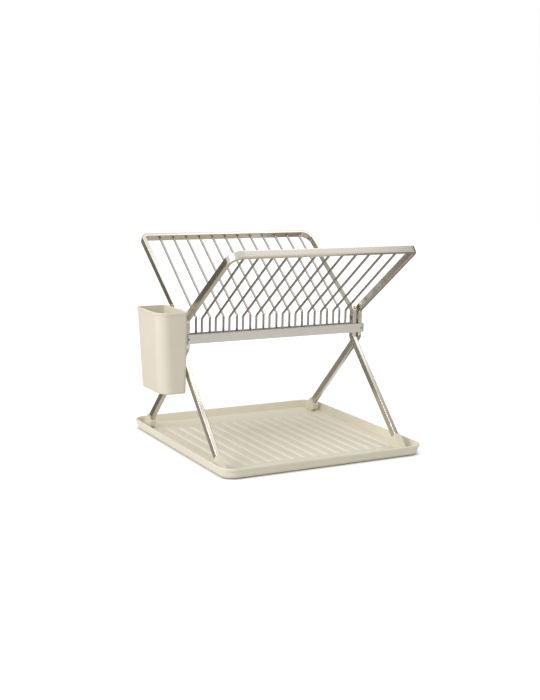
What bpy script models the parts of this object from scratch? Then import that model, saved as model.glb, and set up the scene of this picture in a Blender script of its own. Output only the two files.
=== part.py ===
# Folding dish drainer.
# Two equal frames of flat strip cross on a pivot at each end, like a saw horse.
# The front frame carries the front plate wing on top and the two rear legs.
# The rear frame is the same part turned half round, so it carries the rear wing and the front legs.
# Each frame has a lower bar, and twelve wires run from it to the top bar.
# A cutlery holder hangs on the rear frame's left strip, and the feet stand in a drip tray.
# All lengths are in metres, +X runs along the bars, -Y faces the user and +Z is up.
import math

import bmesh
import bpy
from mathutils import Matrix, Vector

# Fits
SEAT_GAP = 0.0003
CUT_OVERRUN = 0.002

# Strip frames
STRIP_WIDTH = 0.0125
STRIP_THICK = 0.0075
STRIP_EDGE = 0.0014
FRAME_SPAN = 0.336
WASHER_THICK = 0.0039
PIVOT_RISE = 0.2032
WING_KINK_RISE = 0.0145
POST_LENGTH = 0.049
WING_LENGTH = 0.2052
WING_ANGLE = math.radians(53.2)
LEG_ANGLE = math.radians(44.2)
KINK_RADIUS = 0.012
INNER_CORNER_RADIUS = 0.021
OUTER_CORNER_RADIUS = 0.008
LEG_END_RISE = 0.0088

# Pivot pins
PIN_RADIUS = 0.003
PIN_PLAY = 0.0002
PIN_HEAD_RADIUS = 0.005
PIN_HEAD_THICK = 0.0012
HEAD_CROWN = 0.8
WASHER_RADIUS = 0.0065

# Lower bars
BAR_HEIGHT = 0.0152
BAR_DEPTH = 0.0068
BAR_LAP = 0.0038
BAR_DROP = 0.0186
BAR_EDGE = 0.0007
TONGUE_DEPTH = 0.0018
TONGUE_MARGIN = 0.0016
CAP_OVERHANG = 0.0018
CAP_ROUND = 0.0012
RIVET_RADIUS = 0.0012
RIVET_HEAD_RADIUS = 0.002
RIVET_HEAD_THICK = 0.0007
RIVET_LENGTH = 0.0075
RIVET_LAND = 0.0007

# Plate wires
WIRE_COUNT = 12
WIRE_RADIUS = 0.0019
WIRE_MARGIN = 0.0283
WIRE_SHIFT = 0.0021
WIRE_KINK_RADIUS = 0.006
WIRE_SOCKET = 0.005

# Feet
FOOT_THICK = 0.0108
FOOT_WALL = 0.0015
FOOT_SLEEVE = 0.0157
FOOT_HEEL = 0.016
FOOT_HEEL_WALL = 0.004
FOOT_TOE_RISE = 0.006
FOOT_HEEL_ROUND = 0.010
FOOT_TOE_ROUND = 0.004
FOOT_BACK_ROUND = 0.002
FOOT_CORNER_ROUND = 0.0015
FOOT_EDGE = 0.0012

# Drip tray
TRAY_SIDE_MARGIN = 0.0193
TRAY_FRONT_MARGIN = 0.0195
TRAY_HEIGHT = 0.017
TRAY_CORNER = 0.024
TRAY_DRAFT = 0.0018
TRAY_WALL = 0.0018
TRAY_FLOOR = 0.003
TRAY_COVE = 0.0008
TRAY_LIP = 0.0012
TRAY_LIP_HEIGHT = 0.004
TRAY_ROUND = 0.005
TRAY_LIP_EDGE = 0.0006
TRAY_SHIFT = 0.0022
TRAY_FORWARD = 0.006
RIB_COUNT = 16
RIB_SIDE_MARGIN = 0.0268
RIB_END_MARGIN = 0.0585
RIB_WIDTH = 0.010
RIB_CROWN = 0.005
RIB_HEIGHT = 0.0018

# Cutlery holder
HOLDER_WIDTH = 0.0525
HOLDER_LENGTH = 0.090
HOLDER_HEIGHT = 0.134
HOLDER_TOP_RISE = 0.0335
HOLDER_OFFSET = 0.0033
HOLDER_SHIFT = 0.0025
HOLDER_CORNER = 0.006
HOLDER_NEAR_CORNER = 0.020
HOLDER_BACK_TAPER = 0.0004
HOLDER_FRONT_TAPER = 0.0085
HOLDER_END_TAPER = 0.003
HOLDER_WALL = 0.0022
HOLDER_FLOOR = 0.0025
HOLDER_FOOT_ROUND = 0.003
HOLDER_LIP = 0.0011
HOLDER_LIP_HEIGHT = 0.0045
DRAIN_COUNT = 5
DRAIN_PITCH = 0.013
DRAIN_WIDTH = 0.0035
DRAIN_LENGTH = 0.024
DRAIN_CORNER = 0.0013
HOOK_THICK = 0.0024
HOOK_CHEEK = 0.0024
HOOK_REACH = 0.015
HOOK_SKIRT = 0.001
HOOK_CHEEK_DEPTH = 0.009

# Counts of facets and the tolerance below which a direction counts as square
ROUND_SIDES = 24
HOLE_SIDES = 12
WIRE_SIDES = 10
BEND_STEPS = 3
CORNER_STEPS = 7
OUTLINE_STEPS = 6
EDGE_STEPS = 2
SQUARE_SINE = 0.001

# Sizes that follow from those above
FRAME_SHIFT = (STRIP_THICK + WASHER_THICK + 2 * SEAT_GAP) / 2
INNER_STRIP_X = FRAME_SPAN / 2 - FRAME_SHIFT
OUTER_STRIP_X = FRAME_SPAN / 2 + FRAME_SHIFT
FEET_Z = TRAY_FLOOR + SEAT_GAP
PIVOT_Z = FEET_Z + PIVOT_RISE
LEG_KINK_RISE = WING_KINK_RISE - POST_LENGTH
BAR_MIDDLE_RISE = -BAR_DROP
BAR_TOP_RISE = BAR_MIDDLE_RISE + BAR_HEIGHT / 2
BAR_BACK_Y = -STRIP_WIDTH / 2 - SEAT_GAP
BAR_FRONT_Y = BAR_BACK_Y - BAR_LAP
WIRE_Y = BAR_FRONT_Y + BAR_DEPTH / 2
WIRE_SPREAD = FRAME_SPAN - 2 * WIRE_MARGIN
WIRE_PITCH = WIRE_SPREAD / (WIRE_COUNT - 1)
CAP_START_REACH = RIVET_RADIUS + SEAT_GAP + RIVET_LAND
CAP_END_REACH = STRIP_THICK / 2 + CAP_OVERHANG
LEG_END_Y = (PIVOT_RISE + LEG_KINK_RISE - LEG_END_RISE) * math.tan(LEG_ANGLE)
FOOT_HALF = STRIP_WIDTH / 2 + FOOT_WALL
FOOT_TOE_Y = (LEG_END_Y + FOOT_HALF * math.cos(LEG_ANGLE)
              + (LEG_END_RISE + FOOT_HALF * math.sin(LEG_ANGLE) - FOOT_TOE_RISE) * math.tan(LEG_ANGLE))
TRAY_LENGTH = FRAME_SPAN + 2 * TRAY_SIDE_MARGIN
TRAY_DEPTH = 2 * (FOOT_TOE_Y + TRAY_FRONT_MARGIN)
RIB_PITCH = (TRAY_LENGTH - 2 * RIB_SIDE_MARGIN) / (RIB_COUNT - 1)
RIB_LENGTH = TRAY_DEPTH - 2 * RIB_END_MARGIN

# Colours and finishes
CREAM = (0.78, 0.73, 0.62)
CREAM_DARK = (0.66, 0.61, 0.51)
CHAMPAGNE = (0.62, 0.57, 0.51)
STEEL = (0.55, 0.54, 0.51)
GREY = (0.42, 0.42, 0.42)


def clear_scene():
    for item in list(bpy.data.objects):
        bpy.data.objects.remove(item, do_unlink=True)


def make_material(name, colour, roughness, metallic):
    material = bpy.data.materials.new(name)
    material.use_nodes = True
    shader = material.node_tree.nodes["Principled BSDF"]
    shader.inputs["Base Color"].default_value = (*colour, 1.0)
    shader.inputs["Roughness"].default_value = roughness
    shader.inputs["Metallic"].default_value = metallic
    return material


def make_object(name, mesh, parent=None, material=None):
    item = bpy.data.objects.new(name, mesh)
    bpy.context.scene.collection.objects.link(item)
    item.parent = parent
    if material is not None:
        item.data.materials.clear()
        item.data.materials.append(material)
    return item


def make_empty(name, location, turn=0.0):
    item = bpy.data.objects.new(name, None)
    bpy.context.scene.collection.objects.link(item)
    item.location = location
    item.rotation_euler = (0.0, 0.0, turn)
    return item


def finish_mesh(name, bm, smooth_angle=math.radians(35)):
    bmesh.ops.recalc_face_normals(bm, faces=bm.faces)
    mesh = bpy.data.meshes.new(name)
    bm.to_mesh(mesh)
    bm.free()
    mesh.shade_smooth()
    mesh.set_sharp_from_angle(angle=smooth_angle)
    return mesh


def loft(bm, rings):
    # Joins closed rings of equal length into a skin and caps both ends
    loops = [[bm.verts.new(point) for point in ring] for ring in rings]
    count = len(loops[0])
    for lower, upper in zip(loops, loops[1:]):
        for i in range(count):
            j = (i + 1) % count
            bm.faces.new((lower[i], lower[j], upper[j], upper[i]))
    bm.faces.new(list(reversed(loops[0])))
    bm.faces.new(loops[-1])
    return bm


def prism(bm, outline, direction):
    # Extrudes a closed outline of points along a direction
    return loft(bm, [outline, [point + direction for point in outline]])


def circle_points(centre, radius, axis_u, axis_v, sides):
    points = []
    for i in range(sides):
        angle = 2 * math.pi * (i + 0.5) / sides
        points.append(centre + axis_u * (radius * math.cos(angle)) + axis_v * (radius * math.sin(angle)))
    return points


def turned(bm, start, axis, profile, sides=ROUND_SIDES):
    # Turns a profile of distances along the axis and radii, in order from one end to the other
    axis_u = axis.orthogonal().normalized()
    axis_v = axis.cross(axis_u)
    rings = [circle_points(start + axis * along, radius, axis_u, axis_v, sides) for along, radius in profile]
    return loft(bm, rings)


def rounded_path(corners, radii, steps):
    # Walks a chain of points and rounds each inner corner, giving each point and its tangent
    path = [(corners[0], (corners[1] - corners[0]).normalized())]
    for i in range(1, len(corners) - 1):
        incoming = (corners[i] - corners[i - 1]).normalized()
        outgoing = (corners[i + 1] - corners[i]).normalized()
        turn = incoming.angle(outgoing)
        axis = incoming.cross(outgoing).normalized()
        inward = axis.cross(incoming)
        start = corners[i] - incoming * (radii[i - 1] * math.tan(turn / 2))
        for step in range(steps[i - 1] + 1):
            angle = turn * step / steps[i - 1]
            across = inward * (radii[i - 1] * (1 - math.cos(angle)))
            along = incoming * (radii[i - 1] * math.sin(angle))
            tangent = incoming * math.cos(angle) + inward * math.sin(angle)
            path.append((start + along + across, tangent))
    path.append((corners[-1], (corners[-1] - corners[-2]).normalized()))
    return path


def rounded_rectangle(half_u, half_v, radii, steps):
    # Outline of a rectangle with round corners as pairs of distances; the radii go round from the +u +v corner
    points = []
    for quarter, (sign_u, sign_v) in enumerate(((1, 1), (-1, 1), (-1, -1), (1, -1))):
        radius = radii[quarter]
        for step in range(steps + 1):
            angle = math.pi / 2 * (quarter + step / steps)
            points.append((sign_u * (half_u - radius) + radius * math.cos(angle),
                           sign_v * (half_v - radius) + radius * math.sin(angle)))
    return points


def apply_cut(target, cutter, operation="DIFFERENCE"):
    # Adds a Boolean to the target and keeps the cutter as a hidden guide
    cutter.hide_render = True
    cutter.display_type = "WIRE"
    modifier = target.modifiers.new("Boolean", "BOOLEAN")
    modifier.operation = operation
    modifier.object = cutter
    modifier.solver = "EXACT"
    return modifier


def frame_corners(side_x):
    # Centre line of one strip side from leg end to top corner, in the frame's own space
    top_reach = WING_LENGTH - STRIP_THICK / 2
    return [
        Vector((side_x, LEG_END_Y, LEG_END_RISE - PIVOT_RISE)),
        Vector((side_x, 0.0, LEG_KINK_RISE)),
        Vector((side_x, 0.0, WING_KINK_RISE)),
        Vector((side_x, -top_reach * math.sin(WING_ANGLE), WING_KINK_RISE + top_reach * math.cos(WING_ANGLE))),
    ]


def strip_rings(path, grow):
    # Rings of the strip's section; its wide side stays square to the bend of each stretch
    wing_normal = Vector((0.0, math.cos(WING_ANGLE), math.sin(WING_ANGLE)))
    outline = rounded_rectangle(STRIP_WIDTH / 2 + grow, STRIP_THICK / 2 + grow, [STRIP_EDGE] * 4, EDGE_STEPS)
    rings = []
    for point, tangent in path:
        if abs(tangent.x) > SQUARE_SINE:
            wide = wing_normal
        else:
            rising = tangent if tangent.z > 0 else -tangent
            wide = Vector((0.0, rising.z, -rising.y)).normalized()
        thin = tangent.cross(wide).normalized()
        rings.append([point + wide * u + thin * v for u, v in outline])
    return rings


def build_strip_mesh():
    left = frame_corners(-INNER_STRIP_X)
    right = frame_corners(OUTER_STRIP_X)
    corners = left + list(reversed(right))
    radii = [KINK_RADIUS, KINK_RADIUS, INNER_CORNER_RADIUS, OUTER_CORNER_RADIUS, KINK_RADIUS, KINK_RADIUS]
    steps = [BEND_STEPS, BEND_STEPS, CORNER_STEPS, CORNER_STEPS, BEND_STEPS, BEND_STEPS]
    bm = loft(bmesh.new(), strip_rings(rounded_path(corners, radii, steps), 0.0))
    return finish_mesh("strip_frame", bm)


def build_strip_holes_mesh():
    # Pivot holes across both sides and rivet holes into their front edges
    bm = bmesh.new()
    hole = PIN_RADIUS + PIN_PLAY
    rivet_hole = RIVET_RADIUS + SEAT_GAP
    rivet_depth = RIVET_LENGTH - BAR_LAP
    for side_x in (-INNER_STRIP_X, OUTER_STRIP_X):
        reach = STRIP_THICK / 2 + CUT_OVERRUN
        turned(bm, Vector((side_x - reach, 0.0, 0.0)), Vector((1, 0, 0)), [(0.0, hole), (2 * reach, hole)])
        start = Vector((side_x, BAR_BACK_Y - CUT_OVERRUN, BAR_MIDDLE_RISE))
        depth = CUT_OVERRUN + rivet_depth + 2 * SEAT_GAP
        turned(bm, start, Vector((0, 1, 0)), [(0.0, rivet_hole), (depth, rivet_hole)], HOLE_SIDES)
    return finish_mesh("strip_holes", bm)


def bar_ends():
    # Each end of the bar: the strip's middle and the way out along X
    return ((OUTER_STRIP_X, 1), (-INNER_STRIP_X, -1))


def build_bar_mesh():
    # Plan outline: full depth between the strips and a lap in front of each of them
    notch_x = INNER_STRIP_X - STRIP_THICK / 2 - SEAT_GAP
    right_x, left_x = (strip_x + sign * (CAP_START_REACH - SEAT_GAP) for strip_x, sign in bar_ends())
    deep_y = BAR_FRONT_Y + BAR_DEPTH
    bar_bottom = BAR_TOP_RISE - BAR_HEIGHT
    outline = [
        (left_x, BAR_FRONT_Y), (right_x, BAR_FRONT_Y), (right_x, BAR_BACK_Y), (notch_x, BAR_BACK_Y),
        (notch_x, deep_y), (-notch_x, deep_y), (-notch_x, BAR_BACK_Y), (left_x, BAR_BACK_Y),
    ]
    bm = prism(bmesh.new(), [Vector((x, y, bar_bottom)) for x, y in outline], Vector((0, 0, BAR_HEIGHT)))
    return finish_mesh("lower_bar", bm)


def add_block(bm, near_x, far_x, near_y, far_y, half_height):
    # A block at the bar's mid height between two places along the bar and two across it
    corners = ((near_x, near_y), (far_x, near_y), (far_x, far_y), (near_x, far_y))
    base = BAR_MIDDLE_RISE - half_height
    prism(bm, [Vector((x, y, base)) for x, y in corners], Vector((0, 0, 2 * half_height)))


def build_tongue_mesh():
    # Thin tongues at both ends of the bar, which the end caps cover
    bm = bmesh.new()
    half = BAR_HEIGHT / 2 - TONGUE_MARGIN
    for strip_x, sign in bar_ends():
        near = strip_x + sign * (CAP_START_REACH - CUT_OVERRUN)
        far = strip_x + sign * (CAP_END_REACH - TONGUE_MARGIN)
        add_block(bm, near, far, BAR_BACK_Y, BAR_BACK_Y - TONGUE_DEPTH, half)
    return finish_mesh("bar_tongues", bm)


def build_bar_holes_mesh():
    # Wire sockets in the bar's top face and the rivets' way through its ends
    bm = bmesh.new()
    hole = WIRE_RADIUS + SEAT_GAP
    for i in range(WIRE_COUNT):
        base = Vector((wire_x(i), WIRE_Y, BAR_TOP_RISE - WIRE_SOCKET))
        turned(bm, base, Vector((0, 0, 1)), [(0.0, hole), (WIRE_SOCKET + CUT_OVERRUN, hole)], HOLE_SIDES)
    rivet_hole = RIVET_RADIUS + SEAT_GAP
    for strip_x, sign in bar_ends():
        start = Vector((strip_x, BAR_FRONT_Y - CUT_OVERRUN, BAR_MIDDLE_RISE))
        reach = BAR_LAP + 2 * CUT_OVERRUN
        turned(bm, start, Vector((0, 1, 0)), [(0.0, rivet_hole), (reach, rivet_hole)], HOLE_SIDES)
    return finish_mesh("bar_holes", bm)


def build_cap_mesh(strip_x, sign):
    # End cap: a block as high and deep as the bar's lap, with its outer front edge rounded
    bottom = BAR_TOP_RISE - BAR_HEIGHT
    start_x = strip_x + sign * CAP_START_REACH
    end_x = strip_x + sign * CAP_END_REACH
    outline = [Vector((start_x, BAR_BACK_Y, bottom)), Vector((end_x, BAR_BACK_Y, bottom))]
    for step in range(EDGE_STEPS + 1):
        angle = math.pi / 2 * step / EDGE_STEPS
        outline.append(Vector((end_x - sign * CAP_ROUND * (1 - math.cos(angle)),
                               BAR_FRONT_Y + CAP_ROUND * (1 - math.sin(angle)), bottom)))
    outline.append(Vector((start_x, BAR_FRONT_Y, bottom)))
    return finish_mesh("bar_cap", prism(bmesh.new(), outline, Vector((0, 0, BAR_HEIGHT))))


def build_cap_cut_mesh(strip_x, sign):
    # The pocket for the tongue, open towards the bar and the strip
    bm = bmesh.new()
    near = strip_x + sign * (CAP_START_REACH - CUT_OVERRUN)
    far = strip_x + sign * (CAP_END_REACH - TONGUE_MARGIN + SEAT_GAP)
    half = BAR_HEIGHT / 2 - TONGUE_MARGIN + SEAT_GAP
    add_block(bm, near, far, BAR_BACK_Y + CUT_OVERRUN, BAR_BACK_Y - TONGUE_DEPTH - SEAT_GAP, half)
    return finish_mesh("cap_cut", bm)


def build_rivet_mesh():
    # A rivet at x = 0 that holds a bar's end to its own strip, its head on the bar's face
    head_start = SEAT_GAP + RIVET_HEAD_THICK
    start = Vector((0.0, BAR_FRONT_Y - head_start, BAR_MIDDLE_RISE))
    profile = [(0.0, RIVET_HEAD_RADIUS * HEAD_CROWN), (RIVET_HEAD_THICK / 2, RIVET_HEAD_RADIUS),
               (RIVET_HEAD_THICK, RIVET_HEAD_RADIUS), (RIVET_HEAD_THICK, RIVET_RADIUS),
               (head_start + RIVET_LENGTH, RIVET_RADIUS)]
    return finish_mesh("bar_rivet", turned(bmesh.new(), start, Vector((0, 1, 0)), profile, HOLE_SIDES))


def wire_x(index):
    return WIRE_SHIFT - WIRE_SPREAD / 2 + index * WIRE_PITCH


def build_wire_mesh():
    # One wire at x = 0: up out of the bar, a kink, then along the wing to the top bar
    bottom = Vector((0.0, WIRE_Y, BAR_TOP_RISE - WIRE_SOCKET + SEAT_GAP))
    kink = Vector((0.0, WIRE_Y, WING_KINK_RISE))
    reach = WING_LENGTH - STRIP_THICK
    seat = Vector((0.0, -reach * math.sin(WING_ANGLE), WING_KINK_RISE + reach * math.cos(WING_ANGLE)))
    top = seat - (seat - kink).normalized() * SEAT_GAP
    rings = []
    for point, tangent in rounded_path([bottom, kink, top], [WIRE_KINK_RADIUS], [BEND_STEPS]):
        across = Vector((1, 0, 0))
        rings.append(circle_points(point, WIRE_RADIUS, across, tangent.cross(across), WIRE_SIDES))
    return finish_mesh("plate_wire", loft(bmesh.new(), rings))


def leg_line():
    # A point on the leg's centre line at foot level and the leg's direction up to the kink
    corners = frame_corners(0.0)
    direction = (corners[1] - corners[0]).normalized()
    return corners[0], direction


def build_foot_mesh():
    # Side view of the foot, at x = 0: a sleeve along the leg that flares to a flat base
    leg_end, up_leg = leg_line()
    outward = Vector((0.0, up_leg.z, -up_leg.y))
    sleeve_top = leg_end + up_leg * FOOT_SLEEVE
    base_z = -PIVOT_RISE
    toe_z = base_z + FOOT_TOE_RISE
    corners = [
        sleeve_top + outward * FOOT_HALF,
        sleeve_top - outward * (STRIP_WIDTH / 2 + FOOT_HEEL_WALL),
        Vector((0.0, leg_end.y - FOOT_HEEL, base_z)),
        Vector((0.0, FOOT_TOE_Y, base_z)),
        Vector((0.0, FOOT_TOE_Y, toe_z)),
    ]
    radii = [FOOT_CORNER_ROUND, FOOT_BACK_ROUND, FOOT_HEEL_ROUND, FOOT_CORNER_ROUND, FOOT_TOE_ROUND]
    middle = (corners[-1] + corners[0]) / 2
    steps = [BEND_STEPS] * len(corners)
    shift = Vector((-FOOT_THICK / 2, 0, 0))
    outline = [point + shift for point, tangent in rounded_path([middle, *corners, middle], radii, steps)[:-1]]
    return finish_mesh("foot", prism(bmesh.new(), outline, Vector((FOOT_THICK, 0, 0))))


def build_socket_mesh():
    # The leg's end with its clearance, as the foot's socket
    leg_end, up_leg = leg_line()
    path = [(leg_end - up_leg * SEAT_GAP, up_leg), (leg_end + up_leg * (FOOT_SLEEVE + CUT_OVERRUN), up_leg)]
    return finish_mesh("foot_socket", loft(bmesh.new(), strip_rings(path, SEAT_GAP)))


def add_bevel(item, width, segments=2):
    modifier = item.modifiers.new("Bevel", "BEVEL")
    modifier.width = width
    modifier.segments = segments
    modifier.limit_method = "ANGLE"
    modifier.angle_limit = math.radians(40)
    return modifier


def build_frame(name, turn, shared):
    # Everything that swings with one frame, round an empty on the pivot axis
    hinge = make_empty(f"{name}_hinge", (0.0, 0.0, PIVOT_Z), turn)
    champagne, steel, cream, grey = (shared[key] for key in ("champagne", "steel", "cream", "grey"))
    frame = make_object(f"{name}_frame", shared["strip"], hinge, champagne)
    apply_cut(frame, make_object(f"{name}_strip_cut", shared["strip_holes"], hinge))
    bar = make_object(f"{name}_lower_bar", shared["bar"], hinge, champagne)
    add_bevel(bar, BAR_EDGE, 1)
    apply_cut(bar, make_object(f"{name}_tongue_guide", shared["tongues"], hinge), "UNION")
    apply_cut(bar, make_object(f"{name}_bar_cut", shared["bar_holes"], hinge))
    for side in ("outer", "inner"):
        cap = make_object(f"{name}_bar_cap_{side}", shared[f"cap_{side}"], hinge, grey)
        apply_cut(cap, make_object(f"{name}_cap_pocket_{side}", shared[f"cap_cut_{side}"], hinge))
    for index in range(WIRE_COUNT):
        wire = make_object(f"{name}_wire_{index + 1:02d}", shared["wire"], hinge, steel)
        wire.location.x = wire_x(index)
    for side, side_x in (("outer", OUTER_STRIP_X), ("inner", -INNER_STRIP_X)):
        rivet = make_object(f"{name}_bar_rivet_{side}", shared["rivet"], hinge, grey)
        rivet.location.x = side_x
        foot = make_object(f"{name}_frame_foot_{side}", shared["foot"], hinge, cream)
        foot.location.x = side_x
        add_bevel(foot, FOOT_EDGE)
        cutter = make_object(f"{name}_socket_cut_{side}", shared["socket"], hinge)
        cutter.location.x = side_x
        apply_cut(foot, cutter)


def build_pivots(metal):
    # A riveted pin and a washer between the strips at each end
    axis = make_empty("pivot_axis", (0.0, 0.0, PIVOT_Z))
    inner_face = INNER_STRIP_X - STRIP_THICK / 2 - SEAT_GAP
    outer_face = OUTER_STRIP_X + STRIP_THICK / 2 + SEAT_GAP
    crown = PIN_HEAD_RADIUS * HEAD_CROWN
    profile = [(-PIN_HEAD_THICK, crown), (-PIN_HEAD_THICK / 2, PIN_HEAD_RADIUS), (0.0, PIN_HEAD_RADIUS),
               (0.0, PIN_RADIUS), (outer_face - inner_face, PIN_RADIUS), (outer_face - inner_face, PIN_HEAD_RADIUS),
               (outer_face - inner_face + PIN_HEAD_THICK / 2, PIN_HEAD_RADIUS),
               (outer_face - inner_face + PIN_HEAD_THICK, crown)]
    washer_start = INNER_STRIP_X + STRIP_THICK / 2 + SEAT_GAP
    for side, sign in (("right", 1), ("left", -1)):
        direction = Vector((sign, 0, 0))
        pin_mesh = finish_mesh("pivot_pin", turned(bmesh.new(), direction * inner_face, direction, profile))
        make_object(f"{side}_pivot_pin", pin_mesh, axis, metal)
        washer_mesh = finish_mesh("washer", turned(bmesh.new(), direction * washer_start, direction,
                                                   [(0.0, WASHER_RADIUS), (WASHER_THICK, WASHER_RADIUS)]))
        washer = make_object(f"{side}_pivot_washer", washer_mesh, axis, metal)
        hole = PIN_RADIUS + PIN_PLAY
        bore_start = direction * (washer_start - CUT_OVERRUN)
        bore_mesh = finish_mesh("washer_bore", turned(bmesh.new(), bore_start, direction,
                                                      [(0.0, hole), (WASHER_THICK + 2 * CUT_OVERRUN, hole)]))
        apply_cut(washer, make_object(f"{side}_washer_cut", bore_mesh, axis))


def ring_at(half_x, half_y, radii, height, centre_x=0.0, centre_y=0.0):
    outline = rounded_rectangle(half_x, half_y, radii, OUTLINE_STEPS)
    return [Vector((centre_x + x, centre_y + y, height)) for x, y in outline]


def build_tray(material):
    # Shell lofted from outside base, up the drafted wall, over the lip and down to the floor
    half_x = TRAY_LENGTH / 2 - TRAY_LIP
    half_y = TRAY_DEPTH / 2 - TRAY_LIP
    lip_z = TRAY_HEIGHT - TRAY_LIP_HEIGHT
    angles = [math.pi / 2 * step / EDGE_STEPS for step in range(EDGE_STEPS + 1)]
    foot_round = [(-TRAY_DRAFT - TRAY_ROUND * (1 - math.sin(angle)), TRAY_ROUND * (1 - math.cos(angle)))
                  for angle in angles]
    profile = foot_round + [
        (0.0, lip_z), (TRAY_LIP, lip_z), (TRAY_LIP, TRAY_HEIGHT - TRAY_LIP_EDGE),
        (TRAY_LIP - TRAY_LIP_EDGE, TRAY_HEIGHT), (TRAY_LIP_EDGE - TRAY_WALL, TRAY_HEIGHT),
        (-TRAY_WALL, TRAY_HEIGHT - TRAY_LIP_EDGE),
        (-TRAY_WALL - TRAY_DRAFT, TRAY_FLOOR + TRAY_COVE),
        (-TRAY_WALL - TRAY_DRAFT - TRAY_COVE * (1 - math.sqrt(0.5)), TRAY_FLOOR + TRAY_COVE * (1 - math.sqrt(0.5))),
        (-TRAY_WALL - TRAY_DRAFT - TRAY_COVE, TRAY_FLOOR),
    ]
    rings = [ring_at(half_x + out, half_y + out, [TRAY_CORNER + out] * 4, height) for out, height in profile]
    tray = make_object("drip_tray", finish_mesh("drip_tray", loft(bmesh.new(), rings)), None, material)
    tray.location = (TRAY_SHIFT, -TRAY_FORWARD, 0.0)
    ribs = bmesh.new()
    for index in range(RIB_COUNT):
        middle = (index - (RIB_COUNT - 1) / 2) * RIB_PITCH
        rings = []
        for height, width in ((TRAY_FLOOR - TRAY_FLOOR / 2, RIB_WIDTH), (TRAY_FLOOR, RIB_WIDTH),
                              (TRAY_FLOOR + RIB_HEIGHT, RIB_CROWN)):
            half_length = RIB_LENGTH / 2 - (RIB_WIDTH - width)
            rings.append([Vector((middle + u * width / 2, v * half_length, height))
                          for u, v in ((-1, -1), (1, -1), (1, 1), (-1, 1))])
        loft(ribs, rings)
    guide = make_object("tray_rib_guide", finish_mesh("tray_ribs", ribs))
    guide.location = tray.location
    apply_cut(tray, guide, "UNION")


def hook_start_rise():
    return WING_KINK_RISE - KINK_RADIUS * math.tan(WING_ANGLE / 2) - HOOK_SKIRT


def hook_band(low, high):
    # Side view of a band that follows the left strip's upper edge round the wing kink
    start_rise = hook_start_rise()
    end_rise = WING_KINK_RISE + HOOK_REACH * math.cos(WING_ANGLE)
    corners = [Vector((0.0, 0.0, start_rise)), Vector((0.0, 0.0, WING_KINK_RISE)),
               Vector((0.0, HOOK_REACH * math.sin(WING_ANGLE), end_rise))]
    path = rounded_path(corners, [KINK_RADIUS], [BEND_STEPS])
    normals = [Vector((0.0, -tangent.z, tangent.y)) for point, tangent in path]
    lower = [point + normal * low for (point, tangent), normal in zip(path, normals)]
    upper = [point + normal * high for (point, tangent), normal in zip(path, normals)]
    return lower + list(reversed(upper))


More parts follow.
